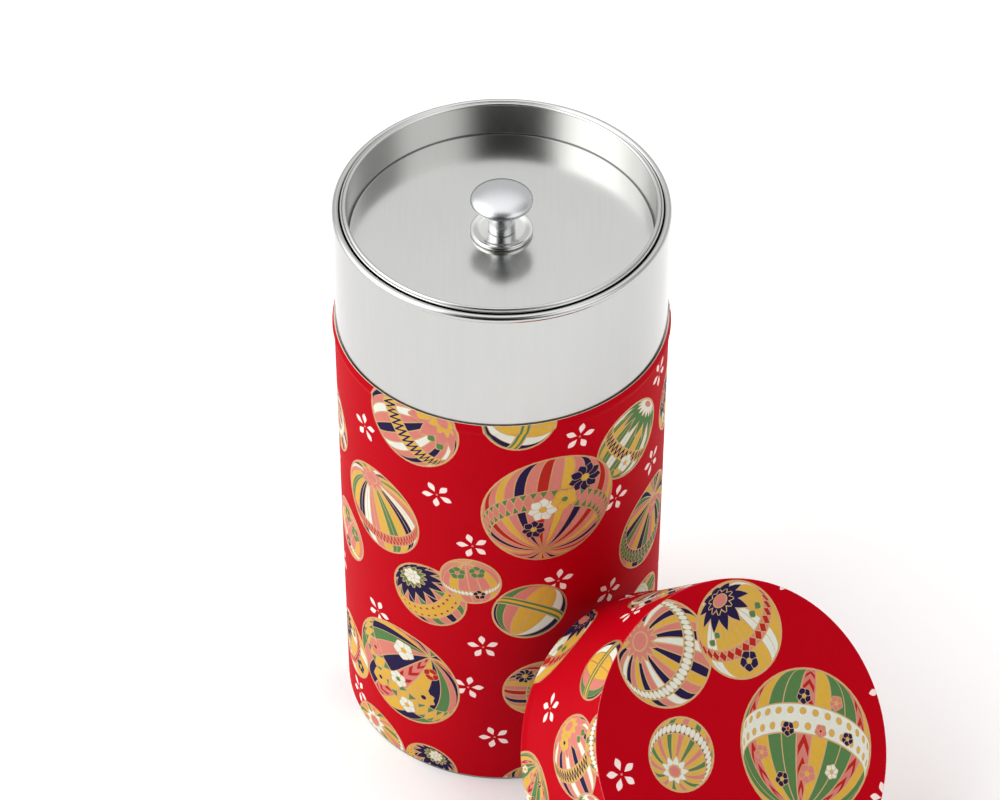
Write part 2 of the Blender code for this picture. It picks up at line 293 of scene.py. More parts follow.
class Sheet:
    """Inks laid one over another on a flat sheet, in millimetres. Later shapes cover earlier ones."""

    def __init__(self):
        self.loops = []
        self.inks = []
        self.balls = []

    def fill(self, ink, loop):
        loop = np.asarray(loop, float)
        following = np.roll(loop, -1, axis=0)
        area = 0.5 * np.sum(loop[:, 0] * following[:, 1] - following[:, 0] * loop[:, 1])
        if abs(area) < SMALLEST_SHAPE:
            return
        self.loops.append(loop if area > 0 else loop[::-1])
        self.inks.append(ink)

    def ball(self, centre, radius, turn, motif):
        """A thread ball: a gold edge, and inside it a globe that the material draws."""
        steps = LARGE_BALL_STEPS if radius > LARGE_BALL else BALL_STEPS
        self.fill(GOLD, circle(centre, radius, steps))
        self.balls.append((centre, radius, math.radians(turn), MOTIFS[motif]))
        self.fill(len(self.balls) - 1, circle(centre, radius - BALL_EDGE, steps))
        self.dress(centre, radius, math.radians(turn), MOTIFS[motif].get("sprigs", []))

    def dress(self, centre, radius, turn, sprigs):
        """Flowers and leaves over a ball, given in its own turned axes as shares of its radius."""
        for x, y, size, petals, ink, heart in sprigs:
            middle = np.asarray(centre) + radius * np.array(
                (x * math.cos(turn) - y * math.sin(turn), x * math.sin(turn) + y * math.cos(turn))
            )
            reach = size * radius
            width = 1.8 * reach * math.sin(math.pi / max(petals, 3)) * (0.9 if petals > 2 else 0.55)
            for index in range(petals):
                direction = turn + 2 * math.pi * index / petals + 0.3
                for grown, colour in ((0.55 * THREAD, GOLD), (0.0, ink)):
                    start, end = 0.1 * reach - grown, reach + grown
                    self.fill(colour, leaf(middle, direction, start, end, width + 2 * grown))
            if heart:
                self.fill(GOLD, circle(middle, 0.24 * reach + 0.5 * THREAD, 8))
                self.fill(heart, circle(middle, 0.24 * reach, 8))


def circle(centre, radius, steps):
    turn = 2 * math.pi * np.arange(steps) / steps
    return np.stack((centre[0] + radius * np.cos(turn), centre[1] + radius * np.sin(turn)), axis=1)


def leaf(centre, direction, start, end, width):
    """A drop-shaped petal that points away from a centre, between two distances from it."""
    along = np.linspace(0.0, 1.0, PETAL_STEPS)
    half = 0.5 * width * np.sin(math.pi * along ** 1.25)
    ahead = np.array((math.cos(direction), math.sin(direction)))
    side = np.array((-ahead[1], ahead[0]))
    spine = np.asarray(centre) + np.outer(start + (end - start) * along, ahead)
    aside = np.outer(half, side)
    return np.concatenate((spine + aside, (spine - aside)[-2:0:-1]))


def blossom(sheet, centre, turn):
    """Five loose petals round a small dot, printed straight on the red ground."""
    for index in range(5):
        direction = math.radians(turn) + 2 * math.pi * index / 5
        sheet.fill(BLOSSOM, leaf(centre, direction, PETAL_START, PETAL_END, PETAL_WIDTH))
    sheet.fill(PINK, circle(centre, BLOSSOM_DOT, 8))


def print_sheet(blossoms, balls, place):
    """A sheet with its blossoms and balls. place gives where each lies on the flat sheet."""
    sheet = Sheet()
    for across, up, turn in blossoms:
        blossom(sheet, place(across, up), turn)
    for across, up, radius, turn, motif in balls:
        sheet.ball(place(across, up), radius, turn, motif)
    return sheet


def band_sheet(blossoms, balls, radius, middle):
    """The flat sheet of a band round an axis. Angles are in degrees, with the middle one at its centre."""
    def place(angle, height):
        turn = (angle - middle + 180) % 360 - 180
        return math.radians(turn) * radius / MM, height

    return print_sheet(blossoms, balls, place)


def ball_numbers(ball):
    """What the print material needs to know about one ball, as five groups of three numbers."""
    _, radius, _, motif = ball
    count, inks = motif["gores"]
    code = sum(BALL_INKS.index(ink) * INK_BASE ** place for place, ink in enumerate(inks))
    belt_at, belt_half, kind, step, ground, mark = motif["belt"]
    petals, reach, long_ink, short_ink = motif.get("star", (0, 10, GOLD, GOLD))
    return {
        "gores": (count, code, len(inks)),
        "pose": (math.radians(motif["pole"]), GORE_PHASE, motif.get("marks", 0)),
        "belt": (math.radians(belt_at), math.radians(belt_half), step / 2.0),
        "trim": (kind, BALL_INKS.index(ground), BALL_INKS.index(mark)),
        "star": (petals, math.radians(reach),
                 BALL_INKS.index(long_ink) + INK_BASE * BALL_INKS.index(short_ink)),
    }


def chain(edges):
    """The vertices of one closed loop, in order, from its directed edges."""
    following = dict(edges)
    first = edges[0][0]
    loop = [first]
    place = following[first]
    while place != first:
        loop.append(place)
        place = following[place]
    return loop


def cut_sheet(sheet, outline, guides):
    """Cuts a sheet into triangles along its shapes: the points, triangles, inks and border loop."""
    points = [Vector(point) for point in outline]
    faces = [list(range(len(outline)))]
    for loop in sheet.loops:
        faces.append(list(range(len(points), len(points) + len(loop))))
        points.extend(Vector(point) for point in loop)
    edges = []
    for start, end in guides:
        edges.append((len(points), len(points) + 1))
        points.extend((Vector(start), Vector(end)))
    found, _, pieces, _, _, owners = geometry.delaunay_2d_cdt(points, edges, faces, 0, MERGE, True)
    triangles = []
    inks = []
    for piece, owner in zip(pieces, owners):
        if 0 not in owner or len(piece) != 3:
            continue
        top = max(owner)
        triangles.append(tuple(piece))
        inks.append(GROUND if top == 0 else sheet.inks[top - 1])
    used = sorted({corner for piece in triangles for corner in piece})
    renumber = {old: new for new, old in enumerate(used)}
    places = np.array([found[old] for old in used])
    triangles = [tuple(renumber[corner] for corner in piece) for piece in triangles]
    sides = {(piece[k], piece[(k + 1) % 3]) for piece in triangles for k in range(3)}
    border = chain([side for side in sides if side[::-1] not in sides])
    return places, triangles, inks, border


def paper_object(name, sheet, vertices, faces, inks, places, known, matrix, material):
    """A closed paper piece from a cut sheet: known holds the normals of the printed faces' corners."""
    mesh = bpy.data.meshes.new(name)
    mesh.from_pydata([matrix @ Vector(vertex) for vertex in vertices], [], faces)
    mesh.shade_smooth()
    colours, spots, normals = [], [], []
    turn = matrix.to_3x3()
    flat = [polygon.normal.copy() for polygon in mesh.polygons]
    printed = len(known[1])
    for index, (face, ink) in enumerate(zip(faces, inks)):
        on_ball = not isinstance(ink, str)
        colours.extend((*INKS[GOLD if on_ball else ink], 1.0) * len(face))
        for corner in face:
            normals.append(turn @ known[0][corner] if index < printed else flat[index])
            if not on_ball:
                spots.extend((0.0, 0.0, 0.0))
                continue
            centre, radius, angle, _ = sheet.balls[ink]
            x, y = (places[corner] - np.asarray(centre)) / (radius - BALL_EDGE)
            cosine, sine = math.cos(angle), math.sin(angle)
            spots.extend((x * cosine + y * sine, y * cosine - x * sine, THREAD / radius))
    mesh.attributes.new("ink", "FLOAT_COLOR", "CORNER").data.foreach_set("color", colours)
    mesh.attributes.new("spot", "FLOAT_VECTOR", "CORNER").data.foreach_set("vector", spots)
    flags = {"gilt": [float(ink == GOLD) for ink in inks],
             "globe": [float(not isinstance(ink, str)) for ink in inks]}
    for key, values in flags.items():
        mesh.attributes.new(key, "FLOAT", "FACE").data.foreach_set("value", values)
    facts = [ball_numbers(ball) for ball in sheet.balls]
    for key in ("gores", "pose", "belt", "trim", "star"):
        values = []
        for ink in inks:
            values.extend((1.0, 0.0, 1.0) if isinstance(ink, str) else facts[ink][key])
        mesh.attributes.new(key, "FLOAT_VECTOR", "FACE").data.foreach_set("vector", values)
    mesh.materials.append(material)
    mesh.normals_split_custom_set(normals)
    return add_object(name, mesh)


def wrap_sheet(name, sheet, radius, swell, low, high, levels, matrix, material):
    """Wraps a sheet once round an axis as a closed shell. Its two ends nearly meet at the back."""
    half = math.pi * radius / MM - SEAM_GAP / 2
    low_mm, high_mm = low / MM, high / MM
    columns = np.linspace(-half, half, WRAP_STEPS + 1)
    rows = [low_mm] + [level / MM for level in levels] + [high_mm]
    outline = [(-half, low_mm), (half, low_mm), (half, high_mm), (-half, high_mm)]
    guides = [((u, low_mm), (u, high_mm)) for u in columns[1:-1]]
    guides += [((-half, v), (half, v)) for v in rows[1:-1]]
    places, triangles, inks, border = cut_sheet(sheet, outline, guides)

    def lift(point, depth):
        angle = point[0] * MM / radius
        height = min(max(point[1] * MM, low), high)
        reach = radius + swell(height) - depth
        return (reach * math.cos(angle), reach * math.sin(angle), height)

    def facing(point):
        angle = point[0] * MM / radius
        height = point[1] * MM
        step = SAME_PLACE * MM
        slope = (swell(height + step) - swell(height - step)) / (2 * step)
        return Vector((math.cos(angle), math.sin(angle), -slope)).normalized()

    vertices = [lift(point, 0.0) for point in places]
    known = ([facing(point) for point in places], triangles)
    faces = list(triangles)
    colours = list(inks)
    inner = {}
    for index in border:
        inner[index] = len(vertices)
        vertices.append(lift(places[index], PAPER))
    for here, there in zip(border, border[1:] + border[:1]):
        faces.append((there, here, inner[here], inner[there]))
        colours.append(CORE)
    rim = [(places[index][0], places[index][1], inner[index]) for index in border]
    corners = {}
    for i, u in enumerate(columns):
        for j, v in enumerate(rows):
            near = [entry for entry in rim
                    if abs(entry[0] - u) < SAME_PLACE and abs(entry[1] - v) < SAME_PLACE]
            if near:
                corners[i, j] = min(near, key=lambda entry: abs(entry[0] - u) + abs(entry[1] - v))[2]
            else:
                corners[i, j] = len(vertices)
                vertices.append(lift((u, v), PAPER))
    taken = set(corners.values())
    rim = [entry for entry in rim if entry[2] not in taken]
    rim_ids = [entry[2] for entry in rim]
    least = (columns[0] + MERGE, rows[0] + MERGE)
    most = (columns[-1] - MERGE, rows[-1] - MERGE)
    rim_places = np.clip(np.array([entry[:2] for entry in rim]), least, most)
    for i in range(len(columns) - 1):
        for j in range(len(rows) - 1):
            left, right, bottom, top = columns[i], columns[i + 1], rows[j], rows[j + 1]
            ring = {corners[a, b] for a in (i, i + 1) for b in (j, j + 1)}
            if i in (0, len(columns) - 2) or j in (0, len(rows) - 2):
                inside = (rim_places[:, 0] >= left) & (rim_places[:, 0] < right)
                inside &= (rim_places[:, 1] >= bottom) & (rim_places[:, 1] < top)
                ring |= {rim_ids[k] for k in np.nonzero(inside)[0]}
            middle = ((left + right) / 2, (bottom + top) / 2)
            spots = {}
            for vertex in ring:
                x, y, z = vertices[vertex]
                u = math.atan2(y, x) * radius / MM
                if abs(u - middle[0]) > half:
                    u -= math.copysign(2 * math.pi * radius / MM, u - middle[0])
                across = (u - middle[0]) / (right - left)
                upward = (z / MM - middle[1]) / (top - bottom)
                spots[vertex] = math.atan2(upward, across)
            faces.append(tuple(sorted(ring, key=lambda vertex: -spots[vertex])))
            colours.append(BACKING)
    return paper_object(name, sheet, vertices, faces, colours, places, known, matrix, material)


def disc_sheet(name, sheet, radius, low, high, matrix, material):
    """A round sheet as a closed plate whose upper edge is softly rounded."""
    flat = radius - DISC_CORNER
    outline = circle((0.0, 0.0), flat / MM, DISC_STEPS)
    places, triangles, inks, border = cut_sheet(sheet, outline, [])
    vertices = [(point[0] * MM, point[1] * MM, high) for point in places]
    known = ([Vector((0.0, 0.0, 1.0))] * len(places), triangles)
    faces = list(triangles)
    colours = list(inks)
    bends = (math.pi / 4, math.pi / 2)
    steps = [(flat + DISC_CORNER * math.sin(bend), high - DISC_CORNER * (1 - math.cos(bend)))
             for bend in bends]
    steps.append((radius, low))
    ring = list(border)
    for reach, height in steps:
        lower = []
        for index in border:
            direction = Vector(places[index]).normalized()
            lower.append(len(vertices))
            vertices.append((reach * direction[0], reach * direction[1], height))
        for k in range(len(ring)):
            after = (k + 1) % len(ring)
            faces.append((ring[after], ring[k], lower[k], lower[after]))
            # The rounded edge is printed lighter: worn paper and a painted highlight.
            colours.append(EDGE_WEAR_AND_SHEEN)
        ring = lower
    faces.append(tuple(reversed(ring)))
    colours.append(BACKING)
    return paper_object(name, sheet, vertices, faces, colours, places, known, matrix, material)


def add_object(name, data):
    thing = bpy.data.objects.new(name, data)
    bpy.context.scene.collection.objects.link(thing)
    return thing


class Number:
    """A number worked out by shader nodes, so that a pattern can be written as a sum."""

    def __init__(self, tree, socket):
        self.tree = tree
        self.socket = socket

    def do(self, operation, *others):
        node = self.tree.nodes.new("ShaderNodeMath")
        node.operation = operation
        for index, value in enumerate((self, *others)):
            if isinstance(value, Number):
                self.tree.links.new(value.socket, node.inputs[index])
            else:
                node.inputs[index].default_value = float(value)
        return Number(self.tree, node.outputs[0])

    __add__ = partialmethod(do, "ADD")
    __sub__ = partialmethod(do, "SUBTRACT")
    __mul__ = partialmethod(do, "MULTIPLY")
    __truediv__ = partialmethod(do, "DIVIDE")
    __lt__ = partialmethod(do, "LESS_THAN")
    __gt__ = partialmethod(do, "GREATER_THAN")
    __abs__ = partialmethod(do, "ABSOLUTE")

    def off(self):
        """1 where this is 0, and 0 where it is 1."""
        return (self * -1.0) + 1.0


def split(tree, vector):
    """The three numbers of a vector."""
    node = tree.nodes.new("ShaderNodeSeparateXYZ")
    tree.links.new(vector, node.inputs[0])
    return [Number(tree, node.outputs[index]) for index in range(3)]


def read(tree, name, output="Vector"):
    """One output of a mesh attribute."""
    source = tree.nodes.new("ShaderNodeAttribute")
    source.attribute_name = name
    return source.outputs[output]


def ink_of(tree, index):
    """The colour of a ball ink from its number."""
    ramp = tree.nodes.new("ShaderNodeValToRGB")
    ramp.color_ramp.interpolation = "CONSTANT"
    stops = ramp.color_ramp.elements
    while len(stops) < len(BALL_INKS):
        stops.new(0.5)
    for place in range(len(BALL_INKS)):
        stops[place].position = place / len(BALL_INKS)
    for place, ink in enumerate(BALL_INKS):
        stops[place].color = (*INKS[ink], 1.0)
    share = (index + 0.5) / len(BALL_INKS)
    tree.links.new(share.socket, ramp.inputs["Fac"])
    return ramp.outputs["Color"]


def last_digit(number):
    """The last digit of a whole number in the base that ink codes are written in."""
    return number - (number / INK_BASE + NUDGE).do("FLOOR") * INK_BASE


def lay(tree, below, mask, above):
    """One colour over another where the mask is 1."""
    mix = tree.nodes.new("ShaderNodeMix")
    mix.data_type = "RGBA"
    tree.links.new(mask.socket, mix.inputs["Factor"])
    for name, colour in (("A", below), ("B", above)):
        socket = next(s for s in mix.inputs if s.name == name and s.type == "RGBA")
        if isinstance(colour, tuple):
            socket.default_value = (*colour, 1.0)
        else:
            tree.links.new(colour, socket)
    return next(s for s in mix.outputs if s.type == "RGBA")


def ball_pattern(tree):
    """The colour and the gold of a thread ball, from the numbers its faces carry."""
    x, y, thread = split(tree, read(tree, "spot"))
    count, code, digits = split(tree, read(tree, "gores"))
    tilt, phase, marks = split(tree, read(tree, "pose"))
    belt_at, belt_half, belt_step = split(tree, read(tree, "belt"))
    belt_kind, belt_ground, belt_mark = split(tree, read(tree, "trim"))
    petals, reach, petal_inks = split(tree, read(tree, "star"))

    # Places on the globe.
    z = ((x * x + y * y) * -1.0 + 1.0).do("MAXIMUM", 0.0).do("SQRT")
    sine, cosine = tilt.do("SINE"), tilt.do("COSINE")
    up = (y * cosine + z * sine).do("MINIMUM", 0.9999).do("MAXIMUM", -0.9999)
    front = z * cosine - y * sine
    latitude = up.do("ARCSINE")
    longitude = x.do("ARCTAN2", front)
    waist = latitude.do("COSINE")

    # Gores between the poles. Each one's ink is a digit of a code in base eight.
    gore = (longitude / (2 * math.pi) + phase + 1.0) * count
    index = gore.do("FLOOR")
    across = gore - index
    place = index - (index / digits + NUDGE).do("FLOOR") * digits
    two = place * 0.0 + 2.0
    shifted = (code / two.do("POWER", place * 3.0) + NUDGE).do("FLOOR")
    colour = ink_of(tree, last_digit(shifted))
    middle = abs(across - 0.5)

    # V-shaped marks up each gore of the first ink.
    ladder = (latitude * MARK_PITCH - middle * MARK_SLANT).do("FRACT")
    mark = (ladder < MARK_SHARE) * (marks > 0.5) * (place < 0.5) * (middle < MARK_WIDTH)
    colour = lay(tree, colour, mark, INKS[RED])

    # Gold threads between the gores.
    side = middle * -1.0 + 0.5
    gap = side * waist / count * (2 * math.pi)
    rib = (middle * waist / count * (2 * math.pi) < thread * 0.3) * (marks < -0.5)
    gold = (gap < thread * 0.5).do("MAXIMUM", rib)
    colour = lay(tree, colour, gold, INKS[GOLD])

    # Petals round the poles: long ones, then short ones between them, then a round heart.
    from_pole = abs(latitude) * -1.0 + math.pi / 2
    for share, shift, divisor in ((1.0, 0.0, 1.0), (0.5, 0.5, INK_BASE)):
        ray = (longitude / (2 * math.pi) + phase + 1.0) * petals + shift
        offset = abs(ray.do("FRACT") - 0.5)
        aside = offset / petals * (2 * math.pi) * from_pole.do("SINE")
        length = reach * share
        along = (from_pole / length).do("MINIMUM", 1.0)
        bulge = (along * math.pi).do("SINE").do("MAXIMUM", 0.0)
        half = bulge * length / petals * 2.0
        here = (from_pole < length) * (petals > 0.5)
        rim = (aside < half + thread) * here
        body = (aside < half) * here
        ink = last_digit((petal_inks / divisor).do("FLOOR"))
        colour = lay(tree, colour, rim, INKS[GOLD])
        colour = lay(tree, colour, body, ink_of(tree, ink))
        gold = (gold * rim.off() + rim) * body.off()
    heart = (from_pole < POLE_HEART) * (petals > 0.5)
    ring = (from_pole < thread + POLE_HEART) * (petals > 0.5)
    colour = lay(tree, colour, ring, INKS[GOLD])
    colour = lay(tree, colour, heart, INKS[PINK])
    gold = (gold * ring.off() + ring) * heart.off()

    # A belt. Each kind of motif is where a measure is small, and its gold edge where it is a bit larger.
    rise = (latitude - belt_at) / belt_half
    height = abs(rise)
    in_belt = height < 1.0
    stitch = longitude * belt_step
    beat = stitch.do("FRACT")
    swing = abs(beat - 0.5) * 2.0
    bead_reach = (beat - 0.5) * 1.7
    row_beat = (stitch + (rise > 0.0) * 0.5).do("FRACT") - 0.5
    row_rise = (height - 0.5) * belt_half * belt_step
    shapes = [
        (LOZENGES, swing + height, 0.95, 1.25),
        (BEADS, bead_reach * bead_reach + rise * rise, 0.62, 0.95),
        (ZIGZAG, abs(rise - (swing * 1.5 - 0.75)), 0.42, 0.62),
        (DOTS, row_beat * row_beat + row_rise * row_rise, 0.035, 0.075),
        (STRIPES, height, 0.34, 0.34),
    ]
    motif = motif_edge = belt_kind * 0.0
    for kind, measure, size, edge in shapes:
        chosen = (belt_kind < kind + 0.5) * (belt_kind > kind - 0.5)
        motif = motif + (measure < size) * chosen
        motif_edge = motif_edge + (measure < edge) * chosen
    hem = abs(height - 1.0) * belt_half < thread * 0.6
    colour = lay(tree, colour, in_belt, ink_of(tree, belt_ground))
    colour = lay(tree, colour, in_belt * motif_edge, INKS[GOLD])
    colour = lay(tree, colour, in_belt * motif, ink_of(tree, belt_mark))
    colour = lay(tree, colour, hem, INKS[GOLD])
    gold = (gold * in_belt.off() + in_belt * motif_edge * motif.off()).do("MAXIMUM", hem)
    return colour, gold


def node_span(name, matrix):
    """A CAD node's lowest and highest places along an axis, and its least and greatest reach from it."""
    inverse = matrix.inverted()
    points = np.array([inverse @ vertex.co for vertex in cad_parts[name].data.vertices])
    reach = np.hypot(points[:, 0], points[:, 1])
    return points[:, 2].min(), points[:, 2].max(), reach.min(), reach.max()


def cap_matrix():
    """The cap's own axes: the origin is the middle of its open rim, and +Z runs to its closed end."""
    flat = math.cos(CAP_TILT)
    axis = Vector((flat * math.cos(CAP_HEADING), flat * math.sin(CAP_HEADING), math.sin(CAP_TILT)))
    side = Vector((-math.sin(CAP_HEADING), math.cos(CAP_HEADING), 0.0))
    up = axis.cross(side)
    seat = Vector((math.cos(CAP_SEAT_DIRECTION), math.sin(CAP_SEAT_DIRECTION), 0.0)) * CAP_SEAT_DISTANCE
    origin = seat + Vector((0.0, 0.0, CAP_RIM_RADIUS * flat))
    return Matrix.Translation(origin) @ Matrix((side, up, axis)).transposed().to_4x4()


def arc(centre, radius, start_deg, end_deg, steps):
    points = []
    for step in range(steps + 1):
        angle = math.radians(start_deg + (end_deg - start_deg) * step / steps)
        points.append((centre[0] + radius * math.cos(angle), centre[1] + radius * math.sin(angle)))
    return points


def bead(along):
    """How far a wall swells at a distance from its edge."""
    if not 0 < along < BEAD_HEIGHT:
        return 0.0
    return BEAD_BULGE * math.sin(math.pi * along / BEAD_HEIGHT) ** 2


def bead_side(radius, edge, direction, skip=0):
    points = []
    for step in range(skip, BEAD_STEPS + 1):
        along = BEAD_HEIGHT * step / BEAD_STEPS
        points.append((radius + bead(along), edge + direction * along))
    return points


def turn_outline(name, outline, segments, matrix, material, body):
    """A closed solid from an outline that runs once round its section. Points on the axis close it."""
    vertices = []
    rings = []
    for radius, height in outline:
        count = 1 if radius < ON_AXIS else segments
        rings.append(list(range(len(vertices), len(vertices) + count)))
        for step in range(count):
            angle = 2 * math.pi * step / segments
            x, y = radius * math.cos(angle), radius * math.sin(angle)
            vertices.append(matrix @ Vector((x, y, height)))
    faces = []
    open_ended = len(rings[0]) == 1 and len(rings[-1]) == 1
    for index in range(len(rings) - 1 if open_ended else len(rings)):
        lower, upper = rings[index], rings[(index + 1) % len(rings)]
        for step in range(segments):
            places = ((lower, step), (lower, step + 1), (upper, step + 1), (upper, step))
            faces.append(tuple(dict.fromkeys(ring[place % len(ring)] for ring, place in places)))
    mesh = bpy.data.meshes.new(name)
    mesh.from_pydata(vertices, [], faces)
    shape = bmesh.new()
    shape.from_mesh(mesh)
    bmesh.ops.recalc_face_normals(shape, faces=shape.faces)
    shape.to_mesh(mesh)
    shape.free()
    mesh.shade_smooth()
    mesh.set_sharp_from_angle(angle=SMOOTH_ANGLE)
    mesh.materials.append(material)
    piece = add_object(name, mesh)
    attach(piece, body)
    return piece


def rounded(corners, radius, steps=4):
    """An outline with each corner replaced by a short arc-like curve."""
    points = []
    for index, corner in enumerate(corners):
        here = Vector(corner)
        before = Vector(corners[index - 1]) - here
        after = Vector(corners[(index + 1) % len(corners)]) - here
        reach = min(radius, before.length * 0.45, after.length * 0.45)
        if here.x < ON_AXIS or reach < ON_AXIS:
            points.append((here.x, here.y))
            continue
        start = here + before.normalized() * reach
        end = here + after.normalized() * reach
        for step in range(steps + 1):
            t = step / steps
            place = start * (1 - t) ** 2 + here * 2 * t * (1 - t) + end * t ** 2
            points.append((place.x, place.y))
    return points


def new_material(name):
    material = bpy.data.materials.new(name)
    material.use_nodes = True
    return material, material.node_tree, material.node_tree.nodes["Principled BSDF"]


def add_noise(tree, scale, detail=4.0, stretch=(1.0, 1.0, 1.0), distortion=0.0):
    """Noise in the object's own space, in cycles per metre, stretched along an axis."""
    place = tree.nodes.new("ShaderNodeTexCoord")
    mapping = tree.nodes.new("ShaderNodeMapping")
    mapping.inputs["Scale"].default_value = stretch
    tree.links.new(place.outputs["Object"], mapping.inputs["Vector"])
    noise = tree.nodes.new("ShaderNodeTexNoise")
    noise.inputs["Scale"].default_value = scale
    noise.inputs["Detail"].default_value = detail
    noise.inputs["Distortion"].default_value = distortion
    tree.links.new(mapping.outputs["Vector"], noise.inputs["Vector"])
    return Number(tree, noise.outputs["Fac"])


def add_bump(tree, shader, height, distance, strength):
    bump = tree.nodes.new("ShaderNodeBump")
    bump.inputs["Distance"].default_value = distance
    bump.inputs["Strength"].default_value = strength
    tree.links.new(height.socket, bump.inputs["Height"])
    tree.links.new(bump.outputs["Normal"], shader.inputs["Normal"])


def shade_colour(tree, shader, colour, shade):
    """Sets the base colour to a colour, or a node's colour, made lighter or darker by a number."""
    tint = tree.nodes.new("ShaderNodeVectorMath")
    tint.operation = "SCALE"
    if isinstance(colour, tuple):
        tint.inputs[0].default_value = colour
    else:
        tree.links.new(colour, tint.inputs[0])
    tree.links.new(shade.socket, tint.inputs["Scale"])
    tree.links.new(tint.outputs[0], shader.inputs["Base Color"])


def metal(name, colour, roughness, spread, grain, stretch, bump, crease=None):
    """Bare metal with faint grain and cloudy patches. Painted shade darkens a band round a crease at a
    radius and height.
    """
    material, tree, shader = new_material(name)
    fine = add_noise(tree, grain, 3.0, stretch)
    cloud = add_noise(tree, 55.0, 2.0)
    shade = fine * 0.06 + cloud * 0.05 + 0.945
    if crease:
        # Painted shade: the base colour darkens in a band round the crease.
        x, y, z = split(tree, tree.nodes.new("ShaderNodeTexCoord").outputs["Object"])
        aside = (x * x + y * y).do("SQRT") - crease[0]
        above = z - crease[1]
        away = (aside * aside + above * above).do("SQRT") / CREASE_WIDTH * 1.6 - 0.6
        shade = shade * (away.do("MAXIMUM", 0.0).do("MINIMUM", 1.0) * (1 - CREASE_SHADE) + CREASE_SHADE)
    shade_colour(tree, shader, colour, shade)
    rough = fine * spread + cloud * spread + (roughness - spread)
    tree.links.new(rough.socket, shader.inputs["Roughness"])
    shader.inputs["Metallic"].default_value = 1.0
    add_bump(tree, shader, fine, 0.01 * MM, bump)
    return material


def printed_paper():
    """Matt washi paper: a long-fibred surface with flat inks and dull gold threads."""
    material, tree, shader = new_material("printed_paper")
    pattern, pattern_gold = ball_pattern(tree)
    on_ball = Number(tree, read(tree, "globe", "Fac"))
    colour = lay(tree, read(tree, "ink", "Color"), on_ball, pattern)
    gold = on_ball * pattern_gold + Number(tree, read(tree, "gilt", "Fac"))
    fibre = add_noise(tree, 900.0, 5.0, (1.0, 1.0, 0.35), 1.5)
    cloud = add_noise(tree, 120.0, 3.0)
    shade = fibre * 0.16 + cloud * 0.10 + 0.87
    shade_colour(tree, shader, colour, shade)
    tree.links.new((gold * 0.55).socket, shader.inputs["Metallic"])
    tree.links.new((gold * -0.22 + fibre * 0.1 + 0.55).socket, shader.inputs["Roughness"])
    shader.inputs["Specular IOR Level"].default_value = 0.03
    add_bump(tree, shader, fibre, 0.03 * MM, 0.35)
    return material


def add_camera():
    camera_data = bpy.data.cameras.new("camera")
    camera_data.lens = CAMERA_LENS
    camera = add_object("camera", camera_data)
    back = Vector((0.0, -math.cos(CAMERA_ELEVATION), math.sin(CAMERA_ELEVATION)))
    camera.location = CAMERA_TARGET + CAMERA_DISTANCE * back
    camera.rotation_euler = (math.pi / 2 - CAMERA_ELEVATION, 0.0, 0.0)
    bpy.context.scene.camera = camera


def add_studio():
    """A white room with soft boxes overhead and to the left. It is dim where the photographer stands."""
    world = bpy.data.worlds.new("studio")
    world.use_nodes = True
    tree = world.node_tree
    background = tree.nodes["Background"]
    place = tree.nodes.new("ShaderNodeTexCoord")
    light = None
    for direction, inner, outer, change in ROOM_PATCHES:
        facing = tree.nodes.new("ShaderNodeVectorMath")
        facing.operation = "DOT_PRODUCT"
        facing.inputs[1].default_value = Vector(direction).normalized()
        tree.links.new(place.outputs["Generated"], facing.inputs[0])
        fade = tree.nodes.new("ShaderNodeMapRange")
        fade.interpolation_type = "SMOOTHSTEP"
        fade.inputs["From Min"].default_value = math.cos(math.radians(outer))
        fade.inputs["From Max"].default_value = math.cos(math.radians(inner))
        tree.links.new(facing.outputs["Value"], fade.inputs["Value"])
        share = Number(tree, fade.outputs[0])
        if light is None:
            light = share * change + ROOM_LIGHT
        elif change > 0:
            light = light + share * change
        else:
            light = light * (share * change + 1.0)
    background.inputs["Color"].default_value = (1.0, 1.0, 1.0, 1.0)
    tree.links.new(light.socket, background.inputs["Strength"])
    bpy.context.scene.world = world


def add_floor():
    mesh = bpy.data.meshes.new("floor")
    signs = ((-1, -1), (1, -1), (1, 1), (-1, 1))
    mesh.from_pydata([(x * FLOOR_REACH, y * FLOOR_REACH, 0.0) for x, y in signs], [], [(0, 1, 2, 3)])
    floor = add_object("floor", mesh)
    material, _, shader = new_material("floor_white")
    shader.inputs["Base Color"].default_value = (0.96, 0.96, 0.96, 1.0)
    shader.inputs["Roughness"].default_value = 0.9
    shader.inputs["Emission Color"].default_value = (1.0, 1.0, 1.0, 1.0)
    shader.inputs["Emission Strength"].default_value = FLOOR_GLOW
    shader.inputs["Specular IOR Level"].default_value = 0.0
    mesh.materials.append(material)


# How the metals' grain is stretched: a small share draws it out along that axis.
EVEN_GRAIN = (1.0, 1.0, 1.0)
UPRIGHT_GRAIN = (1.0, 1.0, 0.04)
LENGTHWISE_GRAIN = (1.0, 0.05, 1.0)

# Room patches: direction, how wide where full and where gone, in degrees, and the light added, or the
# share of it lost.
ROOM_LIGHT = 0.73
ROOM_PATCHES = [
    ((0.0, 0.15, 1.0), 15.0, 52.0, 0.72),
    ((-0.75, 0.05, 0.60), 16.0, 44.0, 1.3),
    ((-0.74, -0.36, 0.56), 8.0, 42.0, 1.35),
    ((0.62, -0.46, 0.64), 10.0, 30.0, 0.7),
    ((0.58, 0.22, 0.77), 6.0, 26.0, -0.42),
    ((-0.14, -0.78, 0.61), 12.0, 31.0, -0.95),
    ((0.0, -0.99, 0.12), 14.0, 46.0, -0.90),
    ((0.0, -0.34, 0.94), 9.0, 28.0, -0.85),
]

bpy.context.scene.view_settings.view_transform = "Standard"
add_camera()
add_studio()
add_floor()

